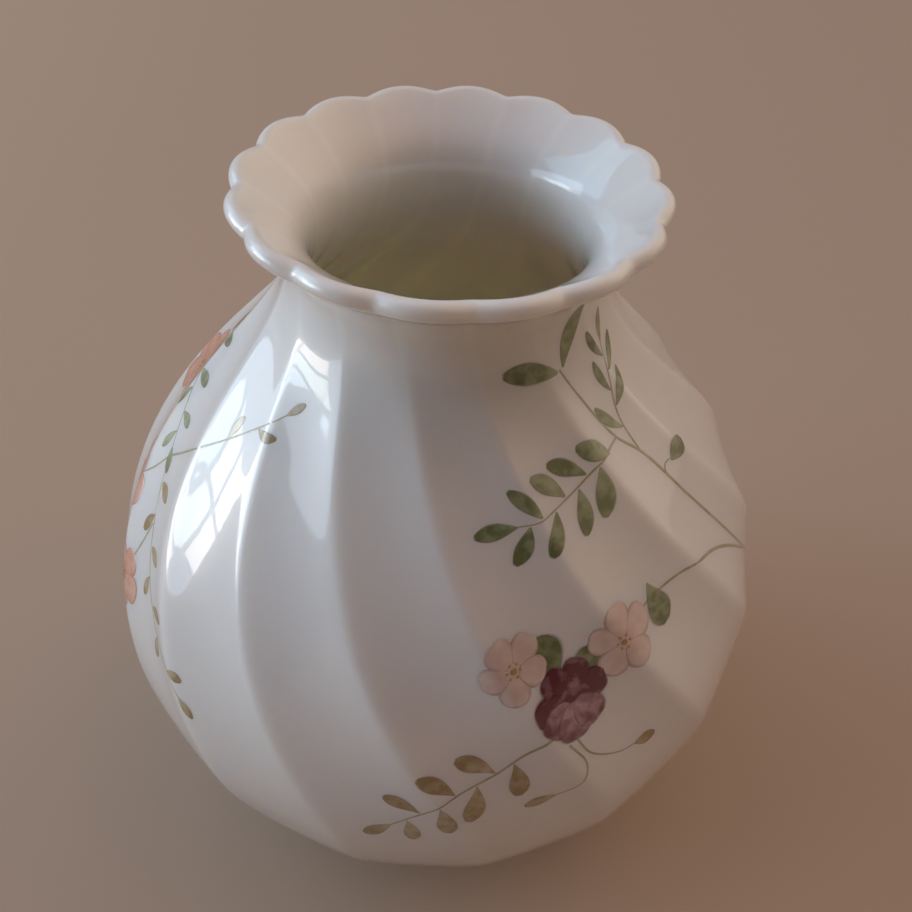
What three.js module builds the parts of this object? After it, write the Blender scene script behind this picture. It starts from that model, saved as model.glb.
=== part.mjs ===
// Small bulbous posy vase in glazed china with a swirled, fluted body and a scalloped rim.
// Units are millimetres, +Z is up, and the origin is the centre of the foot's resting plane.
//
// The vase is one hollow casting. It is modelled as the zones a potter names, from the foot up,
// which meet on level planes: foot ring, base, lower belly, upper belly, neck and flared rim.

import * as THREE from 'three';

// ---- Driving dimensions ----------------------------------------------------------------------

// Height at the notches of the rim. The scallops rise a little above it.
const VASE_HEIGHT = 106;
const WALL = 2.8;

// Foot: the narrow unglazed ring that the vase stands on.
const FOOT_HEIGHT = 2.5;
const FOOT_RADIUS = 25;
const FOOT_TAPER = 0.6;
const FOOT_WIDTH = 3.4;
const FOOT_EDGE = 0.5;

// Base: the slab between the recess under the vase and the floor inside it.
const FLOOR_HEIGHT = 5.5;
const FLOOR_RADIUS = 25.5;

// Belly: widest circle, measured on the ridges of the flutes.
const BELLY_RADIUS = 48.7;
const BELLY_HEIGHT = 41.5;

// Neck: narrowest circle.
const NECK_RADIUS = 19.6;
const NECK_HEIGHT = 97;
const NECK_FOOT_HEIGHT = 90;

// Rim: radius at the notches between the scallops, and how far a scallop stands out from them,
// on a slant that lifts it above them. The scallops grow slowly up the outside of the flare and
// die out just inside the lip.
const RIM_RADIUS = 25;
const SCALLOP = 1;
const SCALLOP_SLANT = 27;
const SCALLOP_POWER_OUTSIDE = 1.5;
const SCALLOP_POWER_INSIDE = 10;
const LIP_ROUND = 1.15;

// Flutes: shallow under the belly and deeper on the shoulder, as shares of the radius. Their
// creases are crisp outside. Inside they are soft, because the slip fills them.
const FLUTES = 16;
const LOW_FLUTE_DEPTH = 0.01;
const HIGH_FLUTE_DEPTH = 0.028;
const DEEPENING_START = 36;
const DEEPENING_END = 66;
const FLUTE_START = 3;
const FLUTE_FULL = 13;
const FLUTE_FADE = 82;
const OUTSIDE_SOFTNESS = 0.12;
const INSIDE_SOFTNESS = 0.6;

// Creases: angle at the rim, and how far they turn per millimetre of height, in degrees. They run
// nearly straight up the flare, swirl round the shoulder and straighten out below the belly.
const CREASE_ANGLE = 5.75;
const FLARE_TWIST = 0.2;
const SHOULDER_TWIST = 0.85;
const NECK_BLEND = 4;
const STRAIGHT_HEIGHT = 40;
const BELLY_BLEND = 10;

// Mesh fineness.
const STEPS_PER_FLUTE = 4;
const BELLY_STEPS = 7;
const NECK_STEPS = 2;
const FLARE_STEPS = 4;
const LIP_STEPS = 4;

// ---- Profiles, as [radius, height] -----------------------------------------------------------

const point = (radius, height) => new THREE.Vector2(radius, height);

// Lower belly: from the foot's shoulder out and up to the widest circle.
const lowerOutside = new THREE.CubicBezierCurve(
  point(FOOT_RADIUS, FOOT_HEIGHT),
  point(FOOT_RADIUS + 9.2, FOOT_HEIGHT),
  point(BELLY_RADIUS, BELLY_HEIGHT - 20.4),
  point(BELLY_RADIUS, BELLY_HEIGHT),
);
const lowerInside = new THREE.CubicBezierCurve(
  point(FLOOR_RADIUS, FLOOR_HEIGHT),
  point(FLOOR_RADIUS + 8.5, FLOOR_HEIGHT + 1.6),
  point(BELLY_RADIUS - WALL, BELLY_HEIGHT - 18.8),
  point(BELLY_RADIUS - WALL, BELLY_HEIGHT),
);

// Upper belly and neck: one sweep from the widest circle over the shoulder to the narrowest.
const upperOutside = new THREE.CubicBezierCurve(
  point(BELLY_RADIUS, BELLY_HEIGHT),
  point(BELLY_RADIUS, BELLY_HEIGHT + 29.9),
  point(NECK_RADIUS, NECK_HEIGHT - 13.5),
  point(NECK_RADIUS, NECK_HEIGHT),
);
const upperInside = new THREE.CubicBezierCurve(
  point(BELLY_RADIUS - WALL, BELLY_HEIGHT),
  point(BELLY_RADIUS - WALL, BELLY_HEIGHT + 29),
  point(NECK_RADIUS - WALL, NECK_HEIGHT - 14.1),
  point(NECK_RADIUS - WALL, NECK_HEIGHT),
);

// Flare: the trumpet from the neck to the lip, whose rounded edge is a half circle.
const lipCentre = point(RIM_RADIUS - LIP_ROUND, VASE_HEIGHT - LIP_ROUND);
const lipTilt = THREE.MathUtils.degToRad(-50);
const lipPoint = (angle) => point(
  lipCentre.x + LIP_ROUND * Math.cos(angle),
  lipCentre.y + LIP_ROUND * Math.sin(angle),
);
const lipOutside = lipPoint(lipTilt);
const lipInside = lipPoint(lipTilt + Math.PI);
const flareOutside = new THREE.CubicBezierCurve(
  point(NECK_RADIUS, NECK_HEIGHT),
  point(NECK_RADIUS, NECK_HEIGHT + 3.4),
  point(lipOutside.x - 2.6, lipOutside.y - 2.2),
  lipOutside,
);
const flareInside = new THREE.CubicBezierCurve(
  point(NECK_RADIUS - WALL, NECK_HEIGHT),
  point(NECK_RADIUS - WALL, NECK_HEIGHT + 4.4),
  point(lipInside.x - 2.6, lipInside.y - 2.2),
  lipInside,
);

// Part of a curve, between two heights. Height rises steadily along each of these curves.
function parameterAtHeight(curve, height) {
  let low = 0;
  let high = 1;
  for (let step = 0; step < 50; step += 1) {
    const middle = (low + high) / 2;
    if (curve.getPoint(middle).y < height) {
      low = middle;
    } else {
      high = middle;
    }
  }
  return (low + high) / 2;
}

function stretch(curve, bottom, top, steps) {
  const start = parameterAtHeight(curve, bottom);
  const end = parameterAtHeight(curve, top);
  const points = [];
  for (let step = 0; step <= steps; step += 1) {
    points.push(curve.getPoint(start + (end - start) * (step / steps)));
  }
  points[0].y = bottom;
  points[steps].y = top;
  return points;
}

// ---- Flutes and scallops ---------------------------------------------------------------------

// 0 well below zero, x well above it, with a smooth bend between them.
function softRamp(x, blend) {
  return (x + Math.hypot(x, blend)) / 2;
}

// Angle of a crease at a height, in degrees.
function creaseAngle(height) {
  const shoulder = softRamp(NECK_HEIGHT - height, NECK_BLEND);
  const straight = softRamp(STRAIGHT_HEIGHT - height, BELLY_BLEND);
  const flareTurn = FLARE_TWIST * (VASE_HEIGHT - height - shoulder);
  return CREASE_ANGLE + flareTurn + SHOULDER_TWIST * (shoulder - straight);
}

// 0 on a crease, 1 half-way to the next, with a softened corner at the crease.
function scoop(turn, softness) {
  const phase = turn * FLUTES;
  const away = 2 * Math.abs(phase - Math.round(phase));
  const soft = (x) => Math.hypot(x, softness) - softness;
  const share = soft(away) / soft(1);
  return share * (2 - share);
}

// How far the wall stands out half-way between creases, and how far it rises there.
function offsets({ x: radius, y: height }, inside) {
  const rise = THREE.MathUtils.smoothstep(height, FLUTE_START, FLUTE_FULL);
  const fade = THREE.MathUtils.smoothstep(height, FLUTE_FADE, NECK_HEIGHT);
  const deepening = THREE.MathUtils.smoothstep(height, DEEPENING_START, DEEPENING_END);
  const depth = THREE.MathUtils.lerp(LOW_FLUTE_DEPTH, HIGH_FLUTE_DEPTH, deepening);
  const lip = inside ? lipInside.y : lipOutside.y;
  const flare = THREE.MathUtils.clamp((height - NECK_HEIGHT) / (lip - NECK_HEIGHT), 0, 1);
  const scallop = SCALLOP * flare ** (inside ? SCALLOP_POWER_INSIDE : SCALLOP_POWER_OUTSIDE);
  const slant = THREE.MathUtils.degToRad(SCALLOP_SLANT);
  const dip = radius * depth * rise * (1 - fade);
  return point(scallop * Math.cos(slant) - dip, scallop * Math.sin(slant));
}

// ---- Solids ----------------------------------------------------------------------------------

// Turn a profile round the axis with its flutes and scallops. Columns of the mesh follow the
// creases. The profile closes on itself, or starts and ends on the axis.
function fluted(profile, insidePoints) {
  const columns = FLUTES * STEPS_PER_FLUTE;
  const geometry = new THREE.LatheGeometry(profile, columns);
  const places = geometry.attributes.position;
  for (let index = 0; index < places.count; index += 1) {
    const spot = profile[index % profile.length];
    const turn = (Math.floor(index / profile.length) % columns) / columns;
    const inside = insidePoints.has(spot);
    const share = scoop(turn, inside ? INSIDE_SOFTNESS : OUTSIDE_SOFTNESS);
    const place = offsets(spot, inside).multiplyScalar(share).add(spot);
    const angle = THREE.MathUtils.degToRad(creaseAngle(spot.y)) + 2 * Math.PI * turn;
    places.setXYZ(index, place.x * Math.cos(angle), place.x * Math.sin(angle), place.y);
  }
  geometry.computeVertexNormals();
  return geometry;
}

function wall(outside, inside) {
  return fluted([...outside, ...inside.toReversed(), outside[0]], new Set(inside));
}

const china = { roughness: 0.12, metalness: 0 };

function addPiece(group, name, geometry, look) {
  const mesh = new THREE.Mesh(geometry, new THREE.MeshStandardMaterial(look));
  mesh.name = name;
  group.add(mesh);
}

// Foot ring: rounded lower edges, level where it meets the base.
function footRing() {
  const outer = FOOT_RADIUS - FOOT_TAPER;
  const inner = FOOT_RADIUS - FOOT_WIDTH;
  const profile = [
    point(inner + FOOT_EDGE, 0),
    point(outer - FOOT_EDGE, 0),
    point(outer, FOOT_EDGE),
    point(FOOT_RADIUS, FOOT_HEIGHT),
    point(inner - FOOT_EDGE, FOOT_HEIGHT),
    point(inner, FOOT_EDGE),
    point(inner + FOOT_EDGE, 0),
  ];
  const geometry = new THREE.LatheGeometry(profile, FLUTES * STEPS_PER_FLUTE);
  return geometry.rotateX(Math.PI / 2);
}

// Base: solid from the recess to the floor inside.
function base() {
  const side = stretch(lowerOutside, FOOT_HEIGHT, FLOOR_HEIGHT, 2);
  return fluted([point(0, FOOT_HEIGHT), ...side, point(0, FLOOR_HEIGHT)], new Set());
}

function lowerBelly() {
  return wall(
    stretch(lowerOutside, FLOOR_HEIGHT, BELLY_HEIGHT, BELLY_STEPS),
    stretch(lowerInside, FLOOR_HEIGHT, BELLY_HEIGHT, BELLY_STEPS),
  );
}

function upperBelly() {
  return wall(
    stretch(upperOutside, BELLY_HEIGHT, NECK_FOOT_HEIGHT, BELLY_STEPS + 1),
    stretch(upperInside, BELLY_HEIGHT, NECK_FOOT_HEIGHT, BELLY_STEPS + 1),
  );
}

function neck() {
  return wall(
    stretch(upperOutside, NECK_FOOT_HEIGHT, NECK_HEIGHT, NECK_STEPS),
    stretch(upperInside, NECK_FOOT_HEIGHT, NECK_HEIGHT, NECK_STEPS),
  );
}

function flaredRim() {
  const outside = stretch(flareOutside, NECK_HEIGHT, lipOutside.y, FLARE_STEPS);
  for (let step = 1; step < LIP_STEPS; step += 1) {
    outside.push(lipPoint(lipTilt + Math.PI * (step / LIP_STEPS)));
  }
  return wall(outside, stretch(flareInside, NECK_HEIGHT, lipInside.y, FLARE_STEPS));
}

// ---- The vase --------------------------------------------------------------------------------

const group = new THREE.Group();
addPiece(group, 'foot_ring', footRing(), { color: 0xd8d2c6, roughness: 0.75, metalness: 0 });
addPiece(group, 'base', base(), { color: 0xdad9d6, ...china });
addPiece(group, 'lower_belly', lowerBelly(), { color: 0xdcdcdc, ...china });
addPiece(group, 'upper_belly', upperBelly(), { color: 0xdedee0, ...china });
addPiece(group, 'neck', neck(), { color: 0xdcdcdc, ...china });
addPiece(group, 'flared_rim', flaredRim(), { color: 0xe0e0e2, ...china });

export default group;
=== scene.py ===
"""Looks for a small posy vase: fluted, glazed china with floral transfers fired on to the glaze.

Lengths are in millimetres until a mesh is made, which is in metres. +Z is up, the front is -Y, angles are
in degrees round the axis, and an angle that grows goes to the right as seen from outside.
"""

import math
import random

import bpy
import numpy as np
from mathutils import Matrix, Vector


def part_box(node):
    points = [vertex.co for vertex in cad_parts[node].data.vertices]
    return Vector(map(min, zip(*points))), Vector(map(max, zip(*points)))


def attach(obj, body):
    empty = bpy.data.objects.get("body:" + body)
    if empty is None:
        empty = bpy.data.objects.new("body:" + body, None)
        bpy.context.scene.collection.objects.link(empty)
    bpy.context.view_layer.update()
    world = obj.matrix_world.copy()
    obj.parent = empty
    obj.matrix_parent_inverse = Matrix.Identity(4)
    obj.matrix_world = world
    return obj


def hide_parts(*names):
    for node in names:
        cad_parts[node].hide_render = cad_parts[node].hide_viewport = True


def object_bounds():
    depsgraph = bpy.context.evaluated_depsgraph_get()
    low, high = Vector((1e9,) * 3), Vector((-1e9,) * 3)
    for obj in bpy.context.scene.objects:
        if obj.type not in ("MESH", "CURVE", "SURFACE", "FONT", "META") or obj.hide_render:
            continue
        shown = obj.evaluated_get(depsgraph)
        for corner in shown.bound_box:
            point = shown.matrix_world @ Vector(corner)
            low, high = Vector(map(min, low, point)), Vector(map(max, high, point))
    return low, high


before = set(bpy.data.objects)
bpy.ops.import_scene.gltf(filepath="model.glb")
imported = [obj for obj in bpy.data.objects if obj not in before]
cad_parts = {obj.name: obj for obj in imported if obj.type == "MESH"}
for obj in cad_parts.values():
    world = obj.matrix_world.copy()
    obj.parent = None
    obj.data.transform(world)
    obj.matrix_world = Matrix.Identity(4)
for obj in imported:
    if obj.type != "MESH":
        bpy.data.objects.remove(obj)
cad_low, cad_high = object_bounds()

MM = 0.001

# ---- Dimensions, read from the frame -----------------------------------------------------------


def node_points(node):
    """Distance from the axis, angle and height of each vertex of a CAD node, in mm and degrees."""
    places = np.array([v.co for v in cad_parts[node].data.vertices]) / MM
    angles = np.degrees(np.arctan2(places[:, 1], places[:, 0]))
    return np.hypot(places[:, 0], places[:, 1]), angles, places[:, 2]


def ring(node, height):
    """Radii and angles of a CAD node's vertices at one height."""
    radii, angles, heights = node_points(node)
    level = np.abs(heights - height) < 0.01
    return radii[level], angles[level]


def top_of(node):
    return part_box(node)[1].z / MM


FOOT_TOP = top_of("foot_ring")
FLOOR = top_of("base")
BELLY = top_of("lower_belly")
NECK = top_of("neck")
FOOT_RADIUS = ring("foot_ring", FOOT_TOP)[0].max()
FOOT_INNER_RADIUS = ring("foot_ring", FOOT_TOP)[0].min()
BELLY_RADIUS = ring("lower_belly", BELLY)[0].max()
NECK_RADIUS = ring("neck", NECK)[0].max()
WALL = NECK_RADIUS - ring("neck", NECK)[0].min()

# The rim at its notches. Its scallops stand out from them, on a slant that lifts them.
SCALLOP = 1.0
SCALLOP_SLANT = math.radians(27)
NOTCH_RADIUS = node_points("flared_rim")[0].max() - SCALLOP * math.cos(SCALLOP_SLANT)
NOTCH_HEIGHT = top_of("flared_rim") - SCALLOP * math.sin(SCALLOP_SLANT)

# A crease passes through the widest vertex of the belly.
belly_radii, belly_angles = ring("lower_belly", BELLY)
BELLY_CREASE = belly_angles[belly_radii.argmax()]

# ---- Shape of the wall -------------------------------------------------------------------------

FLUTES = 16
LOW_FLUTE_DEPTH = 0.01
HIGH_FLUTE_DEPTH = 0.028
DEEPENING = (36, 66)
FLUTE_RISE = (3, 13)
FLUTE_FADE = 82
OUTSIDE_SOFTNESS = 0.12
INSIDE_SOFTNESS = 0.6
FLARE_TWIST = 0.2
SHOULDER_TWIST = 0.85
NECK_BLEND = 4
STRAIGHT_HEIGHT = 40
BELLY_BLEND = 10
SCALLOP_POWER_OUTSIDE = 1.5
SCALLOP_POWER_INSIDE = 10
LIP_ROUND = 1.15
LIP_TILT = math.radians(-50)
LIP_CENTRE = np.array([NOTCH_RADIUS - LIP_ROUND, NOTCH_HEIGHT - LIP_ROUND])

# The wall's curves leave the foot, the floor, the belly and the neck along handles of these lengths.
FLOOR_RADIUS = FOOT_RADIUS + 0.5
FOOT_HANDLE = 9.2
FLOOR_HANDLE = (8.5, 1.6)
BELLY_HANDLE_DOWN = 20.4
BELLY_HANDLE_DOWN_INSIDE = 18.8
BELLY_HANDLE_UP = 29.9
BELLY_HANDLE_UP_INSIDE = 29
NECK_HANDLE_DOWN = 13.5
NECK_HANDLE_DOWN_INSIDE = 14.1
NECK_HANDLE_UP = 3.4
NECK_HANDLE_UP_INSIDE = 4.4
LIP_HANDLE = (2.6, 2.2)


def cubic(points, count):
    """Points along a cubic Bezier curve, given by its four control points, as [radius, height]."""
    t = np.linspace(0, 1, count)[:, None]
    a, b, c, d = (np.array(point, float) for point in points)
    return (1 - t) ** 3 * a + 3 * (1 - t) ** 2 * t * b + 3 * (1 - t) * t**2 * c + t**3 * d


def arc(centre, radius, start, end, count):
    """Points along an arc, with its angles in radians."""
    angles = np.linspace(start, end, count)
    return np.array(centre) + radius * np.stack([np.cos(angles), np.sin(angles)], axis=1)


def lower_outside(count):
    start = (FOOT_RADIUS, FOOT_TOP)
    end = (BELLY_RADIUS, BELLY)
    handles = [(FOOT_RADIUS + FOOT_HANDLE, FOOT_TOP), (BELLY_RADIUS, BELLY - BELLY_HANDLE_DOWN)]
    return cubic([start, *handles, end], count)


def lower_inside(count):
    start = (FLOOR_RADIUS, FLOOR)
    end = (BELLY_RADIUS - WALL, BELLY)
    out, up = FLOOR_HANDLE
    handles = [(FLOOR_RADIUS + out, FLOOR + up), (end[0], BELLY - BELLY_HANDLE_DOWN_INSIDE)]
    return cubic([start, *handles, end], count)


def upper_outside(count):
    start = (BELLY_RADIUS, BELLY)
    end = (NECK_RADIUS, NECK)
    handles = [(BELLY_RADIUS, BELLY + BELLY_HANDLE_UP), (NECK_RADIUS, NECK - NECK_HANDLE_DOWN)]
    return cubic([start, *handles, end], count)


def upper_inside(count):
    start = (BELLY_RADIUS - WALL, BELLY)
    end = (NECK_RADIUS - WALL, NECK)
    handles = [(start[0], BELLY + BELLY_HANDLE_UP_INSIDE), (end[0], NECK - NECK_HANDLE_DOWN_INSIDE)]
    return cubic([start, *handles, end], count)


def lip(count):
    """The round lip, from its outside end over the top to its inside end."""
    return arc(LIP_CENTRE, LIP_ROUND, LIP_TILT, LIP_TILT + math.pi, count)


LIP_OUTSIDE_END, LIP_INSIDE_END = lip(2)


def flare_outside(count):
    start = (NECK_RADIUS, NECK)
    handles = [(NECK_RADIUS, NECK + NECK_HANDLE_UP), LIP_OUTSIDE_END - LIP_HANDLE]
    return cubic([start, *handles, LIP_OUTSIDE_END], count)


def flare_inside(count):
    start = (NECK_RADIUS - WALL, NECK)
    handles = [(start[0], NECK + NECK_HANDLE_UP_INSIDE), LIP_INSIDE_END - LIP_HANDLE]
    return cubic([start, *handles, LIP_INSIDE_END], count)


def soft_ramp(value, blend):
    """0 well below zero, value well above it, with a smooth bend between them."""
    return (value + np.hypot(value, blend)) / 2


def swirl(height):
    """How far a crease has turned at a height, in degrees."""
    shoulder = soft_ramp(NECK - height, NECK_BLEND)
    straight = soft_ramp(STRAIGHT_HEIGHT - height, BELLY_BLEND)
    return SHOULDER_TWIST * (shoulder - straight) - FLARE_TWIST * (height + shoulder)


def crease_angle(height):
    """Angle round the axis of the first crease at a height."""
    return BELLY_CREASE + swirl(height) - swirl(BELLY)


def smoothstep(value, low, high):
    """0 below low, 1 above high, and a smooth rise between. low may be the higher of the two."""
    t = np.clip((value - low) / (high - low), 0, 1)
    return t * t * (3 - 2 * t)


def scoop(turn, softness=OUTSIDE_SOFTNESS):
    """0 on a crease, 1 half-way to the next, with a softened corner at the crease."""
    phase = turn * FLUTES
    away = 2 * np.abs(phase - np.round(phase))
    soft = np.hypot(away, softness) - softness
    share = soft / (np.hypot(1, softness) - softness)
    return share * (2 - share)


def offsets(radius, height, inside=False):
    """How far the wall stands out half-way between creases, and how far it rises there."""
    rise = smoothstep(height, *FLUTE_RISE)
    fade = smoothstep(height, FLUTE_FADE, NECK)
    depth = LOW_FLUTE_DEPTH + (HIGH_FLUTE_DEPTH - LOW_FLUTE_DEPTH) * smoothstep(height, *DEEPENING)
    end = LIP_INSIDE_END if inside else LIP_OUTSIDE_END
    flare = np.clip((height - NECK) / (end[1] - NECK), 0, 1)
    scallop = SCALLOP * flare ** (SCALLOP_POWER_INSIDE if inside else SCALLOP_POWER_OUTSIDE)
    dip = radius * depth * rise * (1 - fade)
    return scallop * math.cos(SCALLOP_SLANT) - dip, scallop * math.sin(SCALLOP_SLANT)


# ---- Mesh helpers ------------------------------------------------------------------------------


def make_piece(name, points, faces, material, values=None):
    """A smooth mesh in metres that rides on the vase. values are named numbers, one per vertex."""
    mesh = bpy.data.meshes.new(name)
    mesh.from_pydata((np.asarray(points) * MM).tolist(), [], faces)
    for key, numbers in (values or {}).items():
        attribute = mesh.attributes.new(key, "FLOAT", "POINT")
        attribute.data.foreach_set("value", np.asarray(numbers, np.float32))
    mesh.shade_smooth()
    mesh.materials.append(material)
    piece = bpy.data.objects.new(name, mesh)
    bpy.context.scene.collection.objects.link(piece)
    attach(piece, "root")
    return piece


def grid_faces(rows, columns, wrap_rows, wrap_columns, first=0):
    """Quads over a grid of vertices, numbered row by row."""
    faces = []
    for row in range(rows if wrap_rows else rows - 1):
        above = (row + 1) % rows
        for column in range(columns if wrap_columns else columns - 1):
            right = (column + 1) % columns
            faces.append((
                first + row * columns + column,
                first + row * columns + right,
                first + above * columns + right,
                first + above * columns + column,
            ))
    return faces


def turns_round(per_flute, closeness):
    """Places round the axis, as shares of a turn, closer together at the creases."""
    step = np.arange(FLUTES * per_flute) / per_flute
    return (step - closeness * np.sin(2 * math.pi * step) / (2 * math.pi)) / FLUTES


def turned(outline, turns, outline_offsets=(0, 0), softness=OUTSIDE_SOFTNESS):
    """Vertices of an outline carried round the axis, one row for each outline point."""
    radii, heights = (outline[:, k][:, None] for k in (0, 1))
    out, up = (np.reshape(offset, (-1, 1)) for offset in outline_offsets)
    angles = np.radians(crease_angle(heights)) + 2 * math.pi * turns
    reach = radii + out * scoop(turns, softness)
    z = heights + up * scoop(turns, softness)
    return np.stack([reach * np.cos(angles), reach * np.sin(angles), z], axis=2)


# ---- Materials ---------------------------------------------------------------------------------

CHINA = (0.81, 0.80, 0.795, 1)
CLOUDED = (0.79, 0.78, 0.775, 1)
CREASED = (0.84, 0.83, 0.825, 1)
# A brighter, warmer colour down inside the neck: painted warm light standing for light through the walls
# and bounced inside.
INSIDE_PAINTED_LIGHT = (0.96, 0.93, 0.82, 1)
SPECK = (0.16, 0.11, 0.08, 1)
SPECK_STRENGTH = 0.55
CHINA_TRANSLUCENCE = 0.5
BARE_LIGHT = (0.74, 0.70, 0.64, 1)
BARE_DARK = (0.66, 0.61, 0.54, 1)
BARE_STAIN = (0.56, 0.49, 0.41, 1)
OPACITY = 0.94
WASH_SPREAD = 0.3
OUTLINE_STRENGTH = 0.7


def new_material(name):
    """A material with its nodes, its links and its shader."""
    material = bpy.data.materials.new(name)
    material.use_nodes = True
    nodes = material.node_tree.nodes
    return material, nodes, material.node_tree.links, nodes["Principled BSDF"]


def set_inputs(node, **inputs):
    for key, value in inputs.items():
        node.inputs[key.replace("_", " ")].default_value = value


def add_node(nodes, kind, **inputs):
    node = nodes.new(kind)
    set_inputs(node, **inputs)
    return node


def mix_colour(nodes, links, factor, first, second):
    """A colour mix. factor, first and second are sockets or plain values."""
    node = nodes.new("ShaderNodeMix")
    node.data_type = "RGBA"
    for place, value in ((0, factor), (6, first), (7, second)):
        if isinstance(value, bpy.types.NodeSocket):
            links.new(value, node.inputs[place])
        else:
            node.inputs[place].default_value = value
    return node.outputs[2]


def map_range(nodes, links, value, low, high, to_low=0.0, to_high=1.0):
    """A smooth step between low and high, mapped on to another range."""
    node = add_node(nodes, "ShaderNodeMapRange", From_Min=low, From_Max=high, To_Min=to_low, To_Max=to_high)
    node.interpolation_type = "SMOOTHSTEP"
    links.new(value, node.inputs["Value"])
    return node.outputs["Result"]


def noise(nodes, links, coordinates, scale, detail=2.0):
    node = add_node(nodes, "ShaderNodeTexNoise", Scale=scale, Detail=detail)
    links.new(coordinates, node.inputs["Vector"])
    return node.outputs["Fac"]


def attribute(nodes, name):
    """A named number that the mesh carries on each vertex."""
    node = nodes.new("ShaderNodeAttribute")
    node.attribute_name = name
    return node.outputs["Fac"]


def glaze(nodes, links, shader, coordinates, translucence):
    """Clear gloss with the faint waviness of a fired glaze, the same on china and transfers."""
    set_inputs(shader, Roughness=0.32, IOR=1.5, Coat_Weight=1.0, Coat_Roughness=0.035, Coat_IOR=1.5)
    set_inputs(shader, Subsurface_Weight=translucence, Subsurface_Scale=0.005)
    set_inputs(shader, Subsurface_Radius=(1.0, 0.75, 0.45))
    bump = add_node(nodes, "ShaderNodeBump", Strength=0.35, Distance=0.0001)
    links.new(noise(nodes, links, coordinates, 130.0), bump.inputs["Height"])
    links.new(bump.outputs["Normal"], shader.inputs["Normal"])
    links.new(bump.outputs["Normal"], shader.inputs["Coat Normal"])


def glazed_china():
    """White china: painted warm light down inside the neck, slightly whiter on the creases, clouded, with a
    few specks.
    """
    material, nodes, links, shader = new_material("glazed_china")
    coordinates = nodes.new("ShaderNodeTexCoord").outputs["Object"]
    glaze(nodes, links, shader, coordinates, CHINA_TRANSLUCENCE)
    cloud = map_range(nodes, links, noise(nodes, links, coordinates, 45.0), 0.35, 0.65)
    colour = mix_colour(nodes, links, cloud, CHINA, CLOUDED)
    colour = mix_colour(nodes, links, attribute(nodes, "crease"), colour, CREASED)
    # Painted warm light down inside the neck, carried by the inside attribute.
    colour = mix_colour(nodes, links, attribute(nodes, "inside"), colour, INSIDE_PAINTED_LIGHT)
    cells = add_node(nodes, "ShaderNodeTexVoronoi", Scale=75.0)
    links.new(coordinates, cells.inputs["Vector"])
    speck = map_range(nodes, links, cells.outputs["Distance"], 0.012, 0.02, SPECK_STRENGTH, 0.0)
    colour = mix_colour(nodes, links, speck, colour, SPECK)
    links.new(colour, shader.inputs["Base Color"])
    return material


def bare_china():
    """The ground foot: unglazed, matt, fine-grained and a little stained."""
    material, nodes, links, shader = new_material("bare_china")
    coordinates = nodes.new("ShaderNodeTexCoord").outputs["Object"]
    grain = noise(nodes, links, coordinates, 2600.0, 4.0)
    stain = map_range(nodes, links, noise(nodes, links, coordinates, 160.0, 4.0), 0.45, 0.7)
    colour = mix_colour(nodes, links, grain, BARE_LIGHT, BARE_DARK)
    colour = mix_colour(nodes, links, stain, colour, BARE_STAIN)
    links.new(colour, shader.inputs["Base Color"])
    set_inputs(shader, Roughness=0.78)
    bump = add_node(nodes, "ShaderNodeBump", Strength=0.6, Distance=0.00004)
    links.new(grain, bump.inputs["Height"])
    links.new(bump.outputs["Normal"], shader.inputs["Normal"])
    return material


def transfer(name, light, deep, outline=None):
    """Transfer colours under the same gloss: washed from light to deep, and thinner at the edge.

    An outline is a darker line just inside the edge, whose colour cover is firmer.
    """
    material, nodes, links, shader = new_material(name)
    coordinates = nodes.new("ShaderNodeTexCoord").outputs["Object"]
    glaze(nodes, links, shader, coordinates, 0.0)
    wash = noise(nodes, links, coordinates, 620.0, 3.0)
    depth = nodes.new("ShaderNodeMath")
    depth.operation = "ADD"
    links.new(attribute(nodes, "tone"), depth.inputs[0])
    links.new(map_range(nodes, links, wash, 0.35, 0.65, -WASH_SPREAD, WASH_SPREAD), depth.inputs[1])
    depth.use_clamp = True
    colour = mix_colour(nodes, links, depth.outputs[0], light, deep)
    cover = attribute(nodes, "cover")
    if outline:
        line = map_range(nodes, links, cover, 0.35, 0.75, OUTLINE_STRENGTH, 0.0)
        colour = mix_colour(nodes, links, line, colour, outline)
    pale_end, soft_end = (0.1, 0.3) if outline else (0.25, 0.75)
    colour = mix_colour(nodes, links, map_range(nodes, links, cover, 0.0, pale_end), CHINA, colour)
    links.new(colour, shader.inputs["Base Color"])
    links.new(map_range(nodes, links, cover, 0.03, soft_end, 0.0, OPACITY), shader.inputs["Alpha"])
    return material


# ---- The china body ----------------------------------------------------------------------------

PER_FLUTE = 20
CREASE_CLOSENESS = 0.6
CREASE_WHITENESS = 0.6
# Depths below the neck over which the painted warm light inside comes in.
PAINTED_LIGHT_DEPTHS = (2, 34)
RECESS_RISE = 0.8
RECESS_HANDLE = 5
RECESS_EDGE = 1.6
RECESS_ROUND = 1.2
FLOOR_DIP = 0.2

# The glaze stands a little proud of the foot and stops at a line above the ground.
GLAZE = 0.06
GLAZE_LINE = 1.1
GLAZE_TUCK = 0.35
RING_TURNS = 192
RING_ROUND = 0.55


def under_outline():
    """The recess under the base, then the glazed sides of the foot, which end above the ground."""
    inner = FOOT_INNER_RADIUS
    ceiling = FOOT_TOP + RECESS_RISE
    handle = inner - RECESS_HANDLE
    edge = inner - RECESS_EDGE
    tuck = GLAZE_LINE + GLAZE_TUCK
    return np.vstack([
        cubic([(0, ceiling), (inner / 2, ceiling), (handle, FOOT_TOP), (edge, FOOT_TOP)], 18),
        arc((edge, FOOT_TOP - RECESS_ROUND), RECESS_ROUND, math.pi / 2, 0, 6)[1:] + (GLAZE, 0),
        [(inner + 0.3 - GLAZE, GLAZE_LINE + 0.1), (inner + 0.6, tuck)],
        [(FOOT_RADIUS - 1, tuck), (FOOT_RADIUS - 0.42 + GLAZE, GLAZE_LINE)],
        [(FOOT_RADIUS - 0.2 + GLAZE, GLAZE_LINE + 0.5)],
    ])


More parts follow.
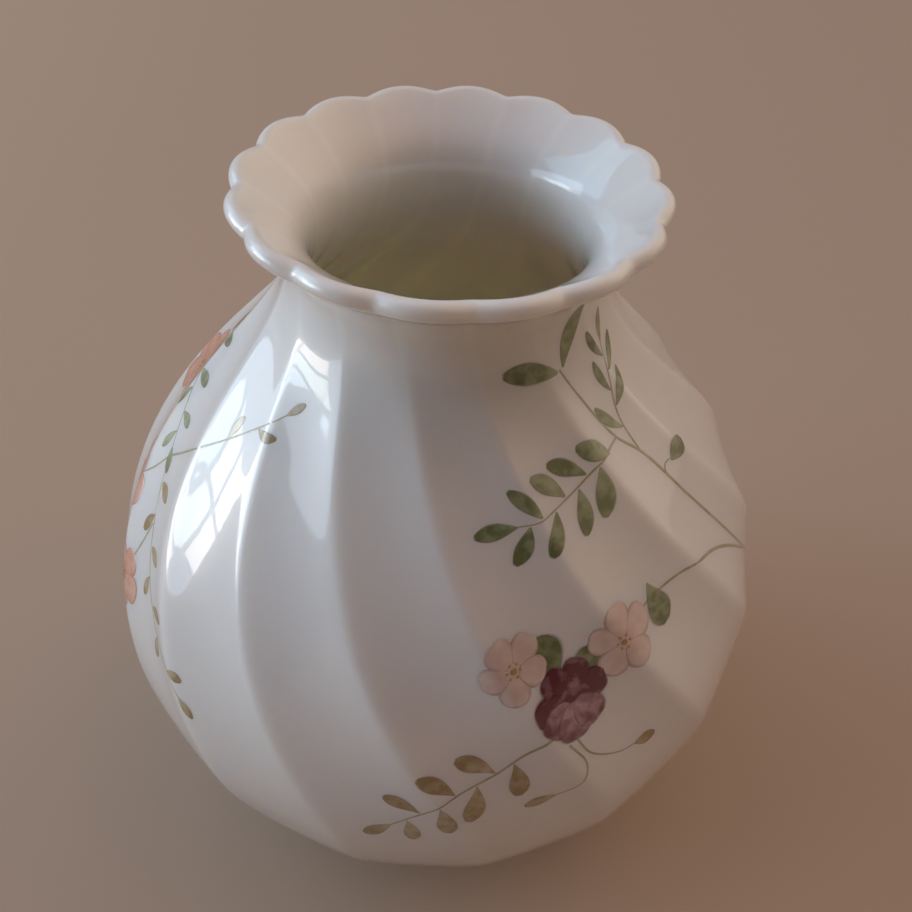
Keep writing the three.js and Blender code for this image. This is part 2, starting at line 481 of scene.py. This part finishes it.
def china_body(material):
    """The whole glazed body: outlines carried round the axis and closed underneath and on the floor."""
    floor = FLOOR - FLOOR_DIP
    outside = np.vstack([
        under_outline(),
        lower_outside(54),
        upper_outside(74)[1:],
        flare_outside(26)[1:],
        lip(20)[1:],
    ])
    inside = np.vstack([
        flare_inside(24)[::-1][1:],
        upper_inside(48)[::-1][1:],
        lower_inside(26)[::-1][1:],
        cubic([(FLOOR_RADIUS, FLOOR), (17, floor), (8, floor), (0, floor)], 14)[1:],
    ])
    outline = np.vstack([outside, inside])
    turns = turns_round(PER_FLUTE, CREASE_CLOSENESS)
    rows = np.vstack([
        turned(outside, turns, offsets(*outside.T)),
        turned(inside, turns, offsets(*inside.T, inside=True), INSIDE_SOFTNESS),
    ])[1:-1]
    count = len(rows)
    points = np.vstack([rows.reshape(-1, 3), [(0, 0, outline[0, 1])], [(0, 0, outline[-1, 1])]])
    faces = grid_faces(count, len(turns), False, True)
    last_row = (count - 1) * len(turns)
    for column in range(len(turns)):
        right = (column + 1) % len(turns)
        faces.append((count * len(turns), right, column))
        faces.append((count * len(turns) + 1, last_row + column, last_row + right))

    # Painted warm light brightens the colour down inside the neck, and the colour changes along the
    # creases. Each end point comes last.
    painted_light_share = smoothstep(NECK - outline[:, 1], *PAINTED_LIGHT_DEPTHS)
    painted_light_share[:len(outside)] = 0
    crest = smoothstep(1 - scoop(turns), 0.72, 1.0)
    whiteness = CREASE_WHITENESS * smoothstep(outline[:, 1], *FLUTE_RISE)
    painted_light_values = np.repeat(painted_light_share[1:-1], len(turns))
    crease_values = (whiteness[1:-1][:, None] * crest).ravel()
    values = {
        # The inside attribute carries the painted warm light down inside the neck.
        "inside": np.append(painted_light_values, [0, 1]),
        "crease": np.append(crease_values, [0, 0]),
    }
    body = make_piece("china_body", points, faces, material, values)
    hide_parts("base", "lower_belly", "upper_belly", "neck", "flared_rim")


def foot_ring(material):
    """The bare ring that the vase stands on, with rounded edges, let into the china above."""
    inner = FOOT_INNER_RADIUS + 0.5
    outer = FOOT_RADIUS - 0.6
    bend = RING_ROUND
    outline = np.vstack([
        arc((inner + bend, bend), bend, math.pi, 1.5 * math.pi, 6),
        cubic([(inner + bend, 0), (inner + 1, 0), (outer - 1, 0), (outer - bend, 0)], 5)[1:-1],
        arc((outer - bend, bend), bend, 1.5 * math.pi, 2 * math.pi, 6),
        [(outer + 0.18, GLAZE_LINE + 0.2), (outer - 0.3, GLAZE_LINE + 0.7)],
        [(inner + 0.5, GLAZE_LINE + 0.7), (inner - 0.1, GLAZE_LINE + 0.2)],
    ])
    turns = np.arange(RING_TURNS) / RING_TURNS
    rows = turned(outline, turns)
    faces = grid_faces(len(rows), len(turns), True, True)
    piece = make_piece("foot_ring_bare", rows.reshape(-1, 3), faces, material)
    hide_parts("foot_ring")


# ---- Places on the outside wall ----------------------------------------------------------------

wall_outline = np.vstack([lower_outside(300), upper_outside(400)[1:], flare_outside(60)[1:]])
wall_radii = wall_outline[:, 0]
wall_heights = wall_outline[:, 1]
wall_steps = np.hypot(np.diff(wall_radii), np.diff(wall_heights))
wall_lengths = np.concatenate([[0], np.cumsum(wall_steps)])


def on_wall(angles, heights):
    """Points on the outside wall at angles in degrees and heights in mm."""
    radii = np.interp(heights, wall_heights, wall_radii)
    reach = radii + offsets(radii, heights)[0] * scoop((angles - crease_angle(heights)) / 360)
    turn = np.radians(angles)
    return np.stack([reach * np.cos(turn), reach * np.sin(turn), heights], axis=-1)


def off_wall(angles, heights, lift):
    """Points at a distance off the outside wall, along its normal."""
    east = on_wall(angles + 0.2, heights) - on_wall(angles - 0.2, heights)
    north = on_wall(angles, heights + 0.1) - on_wall(angles, heights - 0.1)
    normal = np.cross(east, north)
    normal /= np.linalg.norm(normal, axis=-1, keepdims=True)
    return on_wall(angles, heights) + normal * lift[..., None]


def near(anchor, east, north):
    """Angle and height of places given in mm to the right of an anchor and up the wall from it."""
    angle, height = anchor
    along = np.interp(height, wall_heights, wall_lengths) + north
    heights = np.interp(along, wall_lengths, wall_heights)
    radius = np.interp(height, wall_heights, wall_radii)
    return angle + np.degrees(east / radius), heights


# ---- Transfers: thin closed patches on the wall ------------------------------------------------

# How far each kind of patch stands proud of the wall, and how far its edges sink into it.
STEM_LIFT = 0.014
LEAF_LIFT = 0.02
PALE_LIFT = 0.034
DARK_LIFT = 0.062
EYE_LIFT = 0.1
PETAL_STEP = 0.005
SINK = 0.03

# Where a patch's edge has risen, and where its colour is full: shares of its length and half-width.
RISEN_ALONG = (0.05, 0.95)
RISEN_ACROSS = 0.16
FULL_ALONG = (0.14, 0.84)
FULL_ACROSS = 0.5

END_LEAF = 0.95
STEM_END = 1.2
COURSE_POINTS = 10
THINNEST = 0.05
STEM_TONE = 0.5
LEAF_DEEPENING = 0.7
LEAF_CURL = 26
PETAL_START = 0.12
PETAL_WIDTH = 1.04
DOTS = 6
DOT_SIZE = 0.42
DOT_START = 0.2
DOT_RING = 0.95
LEAF_ACROSS = np.array([-1, -0.86, -0.62, -0.3, 0, 0.3, 0.62, 0.86, 1.0])
STEM_ACROSS = np.array([-1, -0.6, 0, 0.6, 1.0])
draw = random.Random(7)


def rise_from_edges(along, across, full_along, full_across):
    """0 at the edges of a patch and 1 away from them."""
    start, end = full_along
    lengthways = np.minimum(smoothstep(along, 0, start), smoothstep(along, 1, end))
    return np.minimum(lengthways, smoothstep(1 - np.abs(across), 0, full_across))


def border(rows, columns):
    """The numbers of a grid's outer vertices, once round."""
    numbers = np.arange(rows * columns).reshape(rows, columns)
    return [*numbers[0], *numbers[1:, -1], *numbers[-1, -2::-1], *numbers[-2:0:-1, 0]]


class Transfer:
    """Gathers patches of one colour family, which become one piece."""

    def __init__(self):
        self.points = []
        self.faces = []
        self.values = {"cover": [], "tone": []}

    def add_patch(self, angles, heights, along, across, tone, lift):
        """One patch over a grid of places. along runs 0 to 1, across -1 to 1, and edges sink in."""
        raised = rise_from_edges(along, across, RISEN_ALONG, RISEN_ACROSS)
        cover = rise_from_edges(along, across, FULL_ALONG, FULL_ACROSS)
        rows, columns = angles.shape
        top = off_wall(angles, heights, -SINK + (lift + SINK) * raised)
        bottom = off_wall(angles, heights, np.full(along.shape, -2 * SINK))
        first = sum(len(points) for points in self.points)
        under = first + rows * columns
        self.points += [top.reshape(-1, 3), bottom.reshape(-1, 3)]
        self.faces += grid_faces(rows, columns, False, False, first)
        self.faces += [face[::-1] for face in grid_faces(rows, columns, False, False, under)]
        edge = border(rows, columns)
        for here, following in zip(edge, edge[1:] + edge[:1]):
            self.faces.append((under + here, under + following, first + following, first + here))
        for key, numbers in (("cover", cover), ("tone", tone)):
            self.values[key] += 2 * [np.broadcast_to(numbers, along.shape).ravel()]

    def finish(self, name, material, slot):
        values = {key: np.concatenate(numbers) for key, numbers in self.values.items()}
        make_piece(name, np.vstack(self.points), self.faces, material, values)


def shape_patch(kind, anchor, heading, length, width, profile, bend=0.0, tone=0.5, lift=LEAF_LIFT, rows=14,
                deepening=0.0):
    """A leaf or petal: it starts at the anchor, heads off at an angle (0 right, 90 up) and may bend."""
    shares = np.linspace(0, 1, rows)
    course = np.radians(heading + bend * (shares - 0.5))
    step = length / (rows - 1)
    middle_east = np.concatenate([[0], np.cumsum(step * np.cos(course[1:]))])
    middle_north = np.concatenate([[0], np.cumsum(step * np.sin(course[1:]))])
    half = width / 2 * np.maximum(profile(shares), THINNEST)
    east = middle_east[:, None] + np.sin(course)[:, None] * half[:, None] * LEAF_ACROSS
    north = middle_north[:, None] - np.cos(course)[:, None] * half[:, None] * LEAF_ACROSS
    angles, heights = near(anchor, east, north)
    along, across = np.meshgrid(shares, LEAF_ACROSS, indexing="ij")
    kind.add_patch(angles, heights, along, across, tone + deepening * (along - 0.5), lift)


# How wide each shape is along its length, as a share of its full width.


def leaf_profile(along):
    return np.sin(math.pi * along**1.25) ** 0.8


def drop_profile(along):
    return np.sin(math.pi * along**1.5) ** 0.8


def petal_profile(along):
    return np.sin(math.pi * along**1.35) ** 0.5


def disc_profile(along):
    return np.sqrt(np.maximum(1 - (2 * along - 1) ** 2, 0))


def smooth_course(points):
    """A smooth course through a few (angle, height) points, by Catmull-Rom."""
    points = np.array(points, float)
    ends = np.vstack([2 * points[0] - points[1], points, 2 * points[-1] - points[-2]])
    course = []
    for k in range(len(points) - 1):
        a, b, c, d = ends[k:k + 4]
        for t in np.linspace(0, 1, COURSE_POINTS, endpoint=False):
            square = (2 * a - 5 * b + 4 * c - d) * t**2
            cube = (3 * b - a - 3 * c + d) * t**3
            course.append(0.5 * (2 * b + (c - a) * t + square + cube))
    course.append(points[-1])
    return np.array(course)


def heading_along(course):
    """Heading on the wall at each point of a course, in radians: 0 is to the right."""
    radii = np.interp(course[:, 1], wall_heights, wall_radii)
    lengths = np.interp(course[:, 1], wall_heights, wall_lengths)
    return np.arctan2(np.gradient(lengths), np.gradient(np.radians(course[:, 0])) * radii)


def add_stem(kind, points, width):
    """A stem through a few (angle, height) points, which narrows to half its width at the end."""
    course = smooth_course(points)
    shares = np.linspace(0, 1, len(course))
    heading = heading_along(course)
    radii = np.interp(course[:, 1], wall_heights, wall_radii)
    lengths = np.interp(course[:, 1], wall_heights, wall_lengths)
    side = -width / 2 * (1 - shares / 2)[:, None] * STEM_ACROSS
    angles = course[:, 0][:, None] - np.degrees(np.sin(heading)[:, None] * side / radii[:, None])
    heights = np.interp(lengths[:, None] + np.cos(heading)[:, None] * side, wall_lengths, wall_heights)

    # The stem fades over its first and last STEM_END millimetres only.
    steps = np.hypot(np.diff(lengths), np.diff(np.radians(course[:, 0])) * radii[:-1])
    end = STEM_END / steps.sum()
    fades = np.interp(shares, (0, end, 1 - end, 1), (0, 0.2, 0.8, 1))
    along, across = np.meshgrid(fades, STEM_ACROSS, indexing="ij")
    kind.add_patch(angles, heights, along, across, STEM_TONE, STEM_LIFT)


def add_leaf(kind, anchor, heading, length, width, bend, profile=leaf_profile, tone=None):
    """A leaf that deepens towards its tip. Its tone is drawn by lot where none is given."""
    shade = 0.35 + 0.5 * draw.random() if tone is None else tone
    shape_patch(kind, anchor, heading, length, width, profile, bend, shade, deepening=LEAF_DEEPENING)


def add_sprig(stems, leaves, points, count, length, width, start, spread, stem_width=0.5,
              profile=leaf_profile):
    """A stem with leaves on alternate sides, which get smaller towards its end leaf.

    start is the share of the stem before the first leaf, and spread the angle of the leaves to it.
    """
    add_stem(stems, points, stem_width)
    course = smooth_course(points)
    headings = np.degrees(heading_along(course))
    for k in range(count):
        share = min(start + (1 - start) * (k / max(count - 1, 1)), END_LEAF)
        place = int(share * (len(course) - 1))
        side = 0 if k == count - 1 else (-1) ** k
        size = 1 - 0.25 * share + 0.12 * (draw.random() - 0.5)
        heading = headings[place] + side * (spread + 10 * (draw.random() - 0.5))
        add_leaf(leaves, course[place], heading, length * size, width * size, -side * LEAF_CURL, profile)


def add_blossom(petals, anchor, size, headings, tone, deepening, lift, ruffle=0.1):
    """Round petals about a centre, each laid a little over the one before."""
    for k, heading in enumerate(headings):
        length = size * (1 + ruffle * (draw.random() - 0.5))
        east = PETAL_START * size * math.cos(math.radians(heading))
        north = PETAL_START * size * math.sin(math.radians(heading))
        shade = tone + 0.25 * (draw.random() - 0.5)
        shape_patch(petals, near(anchor, east, north), heading, length, length * PETAL_WIDTH,
                    petal_profile, 0, shade, lift + PETAL_STEP * k, deepening=deepening)


def add_disc(kind, centre, size, tone, lift):
    """A round patch: the heart of a blossom, or its eye."""
    shape_patch(kind, near(centre, -size / 2, 0), 0, size, size, disc_profile, 0, tone, lift)


def fan(count, first, spread=360):
    """Headings of petals, evenly round a blossom or over a part of it."""
    gaps = count if spread == 360 else count - 1
    return [first + spread * k / gaps for k in range(count)]


def add_eye(kind, anchor, size):
    """The small eye of a blossom, ringed with dots."""
    add_disc(kind, anchor, size, 0.7, EYE_LIFT)
    for k in range(DOTS):
        heading = 2 * math.pi * k / DOTS
        east = DOT_RING * size * math.cos(heading) - DOT_START
        spot = near(anchor, east, DOT_RING * size * math.sin(heading))
        shape_patch(kind, spot, 0, DOT_SIZE, DOT_SIZE, disc_profile, 0, 0.4, EYE_LIFT, rows=7)


# ---- Sprays ------------------------------------------------------------------------------------

# Below, a leaf's numbers are its heading, length, width and bend. A sprig's are its count of leaves,
# their length and width, where along the stem they start, and their spread. Lengths are in mm.

# Each kind of patch with its material and its slot.
KINDS = {
    "stems": ("stem", "leaf_green"),
    "green_leaves": ("green", "leaf_green"),
    "ochre_leaves": ("ochre", "leaf_ochre"),
    "pink_blossoms": ("pink", "petal_pink"),
    "dark_blossom": ("burgundy", "petal_burgundy"),
    "coral_blossoms": ("coral", "petal_pink"),
    "blossom_eyes": ("eye", "leaf_ochre"),
}


def turned_by(turn):
    """A function that carries (angle, height) points round the vase."""
    return lambda *points: [(angle + turn, height) for angle, height in points]


def finish_spray(name, materials, **transfers):
    """One piece from each of a spray's transfers, which are named by their kind."""
    for kind, patches in transfers.items():
        material, slot = KINDS[kind]
        patches.finish(f"{name}_{kind}", materials[material], slot)


def main_spray(name, turn, materials):
    """The large spray: two long stems with green sprigs, blossoms, and an ochre-leaved branch below."""
    stems, green, ochre, pink, burgundy, eyes = (Transfer() for _ in range(6))
    at = turned_by(turn)

    # Long stem, rising from the right to a pair of leaves under the neck.
    add_stem(stems, at((52, 50), (43, 60), (33, 72), (27, 79), (20, 83), (14, 88), (8.4, 92.1)), 0.8)
    add_leaf(green, at((9, 91.5))[0], 168, 8.2, 3.4, 20)
    add_leaf(green, at((10, 91.5))[0], 62, 9.0, 3.2, -24)
    add_stem(stems, at((29.5, 76), (31, 76.8), (33.6, 76.8)), 0.5)
    add_leaf(green, at((33, 76.5))[0], 15, 4.6, 3.6, 0)
    add_leaf(green, at((16, 82))[0], 150, 5.8, 3.4, 20)

    # Slender sprig beside the neck.
    add_sprig(stems, green, at((26, 79.5), (25, 84), (28, 88), (31, 92)), 6, 6.6, 2.1, 0.25, 36)

    # Sprig that arches out to the left.
    add_sprig(stems, green, at((21.6, 82.7), (12, 82), (3, 80.5), (-6, 79.5), (-14, 79)),
              8, 7.4, 3.2, 0.28, 58)

    # Lower stem, from the right down to the blossoms.
    add_stem(stems, at((52, 51), (38, 62), (26, 67), (14, 67.5), (4, 66.5), (-4, 64.5)), 0.7)
    add_leaf(green, at((11.8, 69.3))[0], -78, 7.2, 4.8, 12, drop_profile)
    add_leaf(green, at((-9.5, 63))[0], 112, 7.4, 7.2, 10, drop_profile, 0.75)
    add_leaf(green, at((-7, 62))[0], 45, 6.6, 5.6, -8, drop_profile, 0.55)

    # Blossoms: two pale ones and a full dark one between them, lighter in its lower petals.
    right, left, dark = at((3, 65.7), (-17, 66.3), (-7.5, 61.5))
    add_blossom(pink, right, 4.5, fan(5, 20), 0.4, -0.6, PALE_LIFT)
    add_blossom(pink, left, 4.0, fan(5, 54), 0.4, -0.6, PALE_LIFT)
    add_disc(pink, right, 2.6, 0.7, PALE_LIFT - PETAL_STEP)
    add_disc(pink, left, 2.4, 0.7, PALE_LIFT - PETAL_STEP)
    add_disc(burgundy, dark, 5.2, 0.95, DARK_LIFT - PETAL_STEP)
    add_blossom(burgundy, dark, 4.3, fan(4, 10, 185), 0.95, 0.3, DARK_LIFT, 0.3)
    add_blossom(burgundy, dark, 5.4, fan(3, 232, 76), 0.45, 0.7, DARK_LIFT + 4 * PETAL_STEP, 0.3)
    add_eye(eyes, right, 0.9)
    add_eye(eyes, left, 0.9)

    # Lower branch with ochre leaves.
    add_sprig(stems, ochre, at((-9, 58.5), (-15, 56), (-20, 53), (-26, 50.5), (-31, 47), (-37, 42.5)),
              8, 7.4, 3.6, 0.3, 62, 0.6, drop_profile)
    add_sprig(stems, ochre, at((-9, 56), (-6, 52), (-7, 48.5), (-12, 47)), 1, 6.4, 2.8, 0.9, 40, 0.45)
    add_sprig(stems, ochre, at((-8, 57), (-5, 53), (0, 50.5), (4, 50)), 1, 5.2, 3.6, 1, 0, 0.45)

    finish_spray(name, materials, stems=stems, green_leaves=green, ochre_leaves=ochre,
                 pink_blossoms=pink, dark_blossom=burgundy, blossom_eyes=eyes)


def small_spray(name, turn, materials):
    """The light spray: one branch with small leaves, and three coral blossoms."""
    stems, green, ochre, coral, eyes = (Transfer() for _ in range(5))
    at = turned_by(turn)

    add_sprig(stems, green, at((-30, 84), (-22, 82), (-13, 78), (-4, 74), (4, 70)), 9, 5.2, 2.4, 0.1, 50)
    add_sprig(stems, ochre, at((4, 70), (12, 64), (19, 58.5), (27, 54), (36, 49)), 8, 4.6, 2.4, 0.1, 52)
    add_sprig(stems, ochre, at((4, 70), (14, 76), (24, 81), (34, 85.5)), 3, 4.6, 2.0, 0.5, 40)
    low, high, last = at((-4, 62), (-20, 74), (9, 53))
    add_blossom(coral, low, 5.2, fan(5, 12), 0.6, -0.5, PALE_LIFT)
    add_blossom(coral, high, 5.6, fan(5, 40), 0.6, -0.5, PALE_LIFT)
    add_blossom(coral, last, 4.6, fan(5, 70), 0.5, -0.5, PALE_LIFT)
    for place in (low, high, last):
        add_disc(coral, place, 2.8, 0.8, PALE_LIFT - PETAL_STEP)
        add_eye(eyes, place, 1.0)
    add_stem(stems, at((4, 70), (1, 66), (-4, 62)), 0.5)
    add_stem(stems, at((12, 64), (11, 59), (9, 53)), 0.5)
    finish_spray(name, materials, stems=stems, green_leaves=green, ochre_leaves=ochre,
                 coral_blossoms=coral, blossom_eyes=eyes)


# ---- Room: floor, lights and camera ------------------------------------------------------------

# Places in this section are in metres.
FLOOR_REACH = 6.0
FLOOR_COLOUR = (0.45, 0.335, 0.255, 1)
WINDOW_DISTANCE = 1.2
WINDOW_FOOT = 0.075
PANE_WIDTH = 0.25
PANE_HEIGHT = 0.125
PANE_RADIANCE = 5.5
PANE_TINTS = ((1.0, 0.87, 0.76), (0.84, 0.95, 0.84), (0.68, 0.85, 1.0))
WINDOW_BAR = 0.03
GLOW_EDGE = 0.55
DIM_ROOM = (0.006, 0.005, 0.005)
LIGHT_BOUNCES = 10
CAMERA_PLACE = Vector((0, -100.15, 159.99)) * MM
CAMERA_AIM = Vector((2.18, 0, 61.57)) * MM
CAMERA_ROLL = math.radians(2.9)
FOCAL_LENGTH = 37.5
SENSOR_WIDTH = 36.0


def pale_floor():
    reach = FLOOR_REACH
    corners = [(-reach, -reach, 0), (reach, -reach, 0), (reach, reach, 0), (-reach, reach, 0)]
    mesh = bpy.data.meshes.new("floor")
    mesh.from_pydata(corners, [], [(0, 1, 2, 3)])
    floor = bpy.data.objects.new("floor", mesh)
    bpy.context.scene.collection.objects.link(floor)
    material, _, _, shader = new_material("floor")
    set_inputs(shader, Base_Color=FLOOR_COLOUR, Roughness=0.9)
    mesh.materials.append(material)


def panel(name, place, aim, width, height, radiance, colour):
    """A soft box. Its power follows from how bright its face looks."""
    light = bpy.data.lights.new(name, "AREA")
    light.shape = "RECTANGLE"
    light.size = width
    light.size_y = height
    light.energy = radiance * math.pi * width * height
    light.color = colour
    lamp = bpy.data.objects.new(name, light)
    lamp.location = place
    lamp.rotation_euler = (Vector(aim) - Vector(place)).to_track_quat("-Z", "Y").to_euler()
    bpy.context.scene.collection.objects.link(lamp)


def around(azimuth, elevation, distance):
    """A place at a distance from the middle of the vase, with its angles in degrees."""
    turn, rise = math.radians(azimuth), math.radians(elevation)
    flat = distance * math.cos(rise)
    height = distance * math.sin(rise) + cad_high.z / 2
    return Vector((flat * math.cos(turn), flat * math.sin(turn), height))


def window():
    """A window to the left: two columns of three panes, cool above and warmer below."""
    for row, tint in enumerate(PANE_TINTS):
        for column in range(2):
            y = (column - 0.5) * (PANE_WIDTH + WINDOW_BAR)
            z = WINDOW_FOOT + row * (PANE_HEIGHT + WINDOW_BAR)
            place = (-WINDOW_DISTANCE, y, z)
            panel(f"pane_{row}_{column}", place, (0, y, z), PANE_WIDTH, PANE_HEIGHT, PANE_RADIANCE, tint)


def room_glow(glows):
    """Soft, wide light from a few directions, each brightest at its middle, over a dim room."""
    world = bpy.data.worlds.new("room")
    world.use_nodes = True
    nodes, links = world.node_tree.nodes, world.node_tree.links
    direction = nodes.new("ShaderNodeTexCoord").outputs["Generated"]
    light = None
    for middle, colour in glows:
        facing = nodes.new("ShaderNodeVectorMath")
        facing.operation = "DOT_PRODUCT"
        links.new(direction, facing.inputs[0])
        facing.inputs[1].default_value = Vector(middle).normalized()
        share = map_range(nodes, links, facing.outputs["Value"], GLOW_EDGE, 1.0)
        glow = nodes.new("ShaderNodeVectorMath")
        glow.operation = "SCALE"
        glow.inputs[0].default_value = colour
        links.new(share, glow.inputs["Scale"])
        added = nodes.new("ShaderNodeVectorMath")
        added.inputs[0].default_value = DIM_ROOM
        if light is not None:
            links.new(light, added.inputs[0])
        links.new(glow.outputs[0], added.inputs[1])
        light = added.outputs[0]
    links.new(light, nodes["Background"].inputs["Color"])
    bpy.context.scene.world = world


def studio():
    """Soft light: a window with a pale curtain round it, daylight from above, and the room's glow."""
    middle = (0, 0, cad_high.z / 2)
    window()
    panel("curtain", around(180, 12, 1.25), middle, 1.1, 0.7, 2.6, (0.72, 0.85, 1.0))
    panel("daylight", around(160, 32, 1.5), middle, 1.2, 0.8, 1.6, (0.40, 0.76, 1.0))
    room_glow((
        (around(10, 38, 1), (0.62, 0.44, 0.29)),
        (around(45, 15, 1), (0.58, 0.54, 0.48)),
        (around(0, 88, 1), (0.44, 0.33, 0.35)),
        (around(140, 30, 1), (0.36, 0.36, 0.38)),
    ))
    bpy.context.scene.cycles.diffuse_bounces = LIGHT_BOUNCES
    bpy.context.scene.view_settings.view_transform = "Standard"


def camera():
    """Above and in front, looking down at the shoulder, with a slight roll."""
    lens = bpy.data.cameras.new("camera")
    lens.lens = FOCAL_LENGTH
    lens.sensor_width = SENSOR_WIDTH
    lens.clip_start = 0.005
    eye = bpy.data.objects.new("camera", lens)
    look = (CAMERA_AIM - CAMERA_PLACE).to_track_quat("-Z", "Y").to_matrix().to_4x4()
    eye.matrix_world = Matrix.Translation(CAMERA_PLACE) @ look @ Matrix.Rotation(CAMERA_ROLL, 4, "Z")
    bpy.context.scene.collection.objects.link(eye)
    bpy.context.scene.camera = eye


# ---- Everything --------------------------------------------------------------------------------

camera()
pale_floor()
studio()
china_body(glazed_china())
foot_ring(bare_china())
transfer_materials = {
    "stem": transfer("stem_green", (0.50, 0.48, 0.35, 1), (0.32, 0.33, 0.20, 1)),
    "green": transfer("leaf_green", (0.38, 0.44, 0.27, 1), (0.15, 0.18, 0.075, 1)),
    "ochre": transfer("leaf_ochre", (0.58, 0.49, 0.32, 1), (0.32, 0.22, 0.085, 1)),
    "pink": transfer("petal_pink", (0.77, 0.65, 0.60, 1), (0.69, 0.50, 0.45, 1), (0.52, 0.37, 0.32, 1)),
    "coral": transfer("petal_coral", (0.80, 0.50, 0.40, 1), (0.70, 0.27, 0.17, 1), (0.62, 0.30, 0.22, 1)),
    "burgundy": transfer("petal_burgundy", (0.52, 0.33, 0.38, 1), (0.14, 0.03, 0.045, 1)),
    "eye": transfer("blossom_eye", (0.55, 0.42, 0.20, 1), (0.34, 0.22, 0.08, 1)),
}
main_spray("front_spray", -60, transfer_materials)
small_spray("left_spray", -168, transfer_materials)
small_spray("back_spray", 72, transfer_materials)

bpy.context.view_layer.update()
